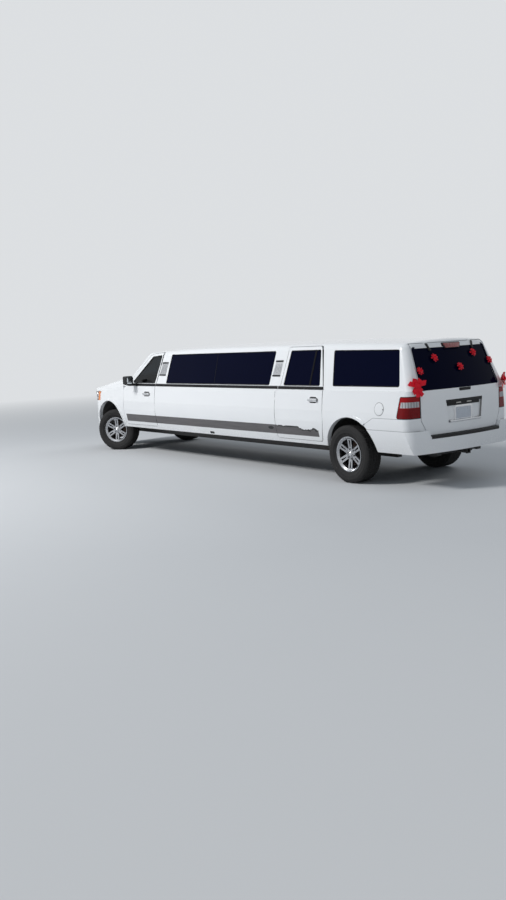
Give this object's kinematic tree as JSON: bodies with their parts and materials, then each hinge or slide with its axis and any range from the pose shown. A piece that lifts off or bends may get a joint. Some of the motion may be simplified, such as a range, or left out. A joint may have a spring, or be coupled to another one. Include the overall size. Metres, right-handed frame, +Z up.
{
  "type": "stretch limousine",
  "caption": "Long stretched utility limousine with opening doors, bonnet and tailgate, steering and rolling wheels, and a hollow seated cabin.",
  "frame": {"origin": "on the floor, under the middle of the vehicle's box", "axes": "+X forward, +Y to the left side, +Z up"},
  "size_m": [9.24, 2.396, 1.975],
  "materials": {
    "white_paint": "gloss white body paint",
    "dark_glass": "dark tinted glass",
    "lamp_red": "red moulded lens",
    "lamp_clear": "clear moulded lens over a bright bowl",
    "bright_trim": "bright plated trim",
    "alloy": "machined and lacquered alloy",
    "tyre_rubber": "black tyre rubber",
    "black_plastic": "grained black plastic",
    "chassis_paint": "black chassis paint",
    "cast_metal": "cast iron with road dust",
    "pipe_steel": "dull steel pipe",
    "seat_leather": "black leather",
    "cabin_trim": "dark cabin trim",
    "carpet": "dark carpet over the floor pan"
  },
  "bodies": {
    "body": {"roof": "white_paint", "side_panel_left": "white_paint", "side_panel_right": "white_paint", "quarter_panel_left": "white_paint", "quarter_panel_right": "white_paint", "windscreen_frame": "white_paint", "front_wing_left": "white_paint", "front_wing_right": "white_paint", "front_bumper": "white_paint", "rear_bumper": "white_paint", "headlamps": "lamp_clear", "grille": "bright_trim", "tail_lamps": "lamp_red", "side_windows": "dark_glass", "windscreen": "dark_glass", "floor": "carpet", "front_liners": "black_plastic", "ladder_frame": "chassis_paint", "front_arms": "chassis_paint", "engine": "cast_metal", "fuel_tank": "chassis_paint", "exhaust": "pipe_steel", "rear_axle": "cast_metal", "dashboard": "cabin_trim", "seats": "seat_leather", "partition": "cabin_trim"},
    "bonnet": {"hood": "white_paint"},
    "liftgate": {"tailgate": "white_paint", "tailgate_glass": "dark_glass", "high_brake_lamp": "lamp_red"},
    "front_door_left_body": {"front_door_left": "white_paint", "front_door_glass_left": "dark_glass", "mirror_left": "black_plastic"},
    "rear_door_left_body": {"rear_door_left": "white_paint", "rear_door_glass_left": "dark_glass"},
    "knuckle_left": {"knuckle_front_left": "cast_metal"},
    "wheel_front_left": {"tyre_front_left": "tyre_rubber", "rim_front_left": "alloy"},
    "wheel_rear_left": {"tyre_rear_left": "tyre_rubber", "rim_rear_left": "alloy"},
    "front_door_right_body": {"front_door_right": "white_paint", "front_door_glass_right": "dark_glass", "mirror_right": "black_plastic"},
    "rear_door_right_body": {"rear_door_right": "white_paint", "rear_door_glass_right": "dark_glass"},
    "knuckle_right": {"knuckle_front_right": "cast_metal"},
    "wheel_front_right": {"tyre_front_right": "tyre_rubber", "rim_front_right": "alloy"},
    "wheel_rear_right": {"tyre_rear_right": "tyre_rubber", "rim_rear_right": "alloy"}
  },
  "joints": [
    {"name": "steer_left", "type": "hinge", "parent": "body", "child": "knuckle_left", "pos_m": [3.67, 0.78, 0.405], "axis": [0, 0, 1], "range_deg": [-65, 5]},
    {"name": "spin_front_left", "type": "hinge", "parent": "knuckle_left", "child": "wheel_front_left", "pos_m": [3.635, 0.84062, 0.405], "axis": [-0.5, 0.866, 0], "continuous": true},
    {"name": "spin_rear_left", "type": "hinge", "parent": "body", "child": "wheel_rear_left", "pos_m": [-3.29, 0.85, 0.405], "axis": [0, 1, 0], "continuous": true},
    {"name": "front_door_left_hinge", "type": "hinge", "parent": "body", "child": "front_door_left_body", "pos_m": [3.086, 1.002, 1.15], "axis": [0, 0, -1], "range_deg": [0, 65]},
    {"name": "rear_door_left_hinge", "type": "hinge", "parent": "body", "child": "rear_door_left_body", "pos_m": [-1.703, 1.002, 1.15], "axis": [0, 0, -1], "range_deg": [0, 68]},
    {"name": "steer_right", "type": "hinge", "parent": "body", "child": "knuckle_right", "pos_m": [3.67, -0.78, 0.405], "axis": [0, 0, 1], "range_deg": [-65, 5]},
    {"name": "spin_front_right", "type": "hinge", "parent": "knuckle_right", "child": "wheel_front_right", "pos_m": [3.705, -0.84062, 0.405], "axis": [-0.5, 0.866, 0], "continuous": true},
    {"name": "spin_rear_right", "type": "hinge", "parent": "body", "child": "wheel_rear_right", "pos_m": [-3.29, -0.85, 0.405], "axis": [0, 1, 0], "continuous": true},
    {"name": "front_door_right_hinge", "type": "hinge", "parent": "body", "child": "front_door_right_body", "pos_m": [3.086, -1.002, 1.15], "axis": [0, 0, 1], "range_deg": [0, 65]},
    {"name": "rear_door_right_hinge", "type": "hinge", "parent": "body", "child": "rear_door_right_body", "pos_m": [-1.703, -1.002, 1.15], "axis": [0, 0, 1], "range_deg": [0, 68]},
    {"name": "bonnet_hinge", "type": "hinge", "parent": "body", "child": "bonnet", "pos_m": [3.11, 0, 1.499], "axis": [0, -1, 0], "range_deg": [0, 48]},
    {"name": "liftgate_hinge", "type": "hinge", "parent": "body", "child": "liftgate", "pos_m": [-4.33, 0, 1.891], "axis": [0, 1, 0], "range_deg": [0, 85]}
  ],
  "couplings": [
    {"joint": "steer_right", "follows": "steer_left", "ratio": 1}
  ]
}
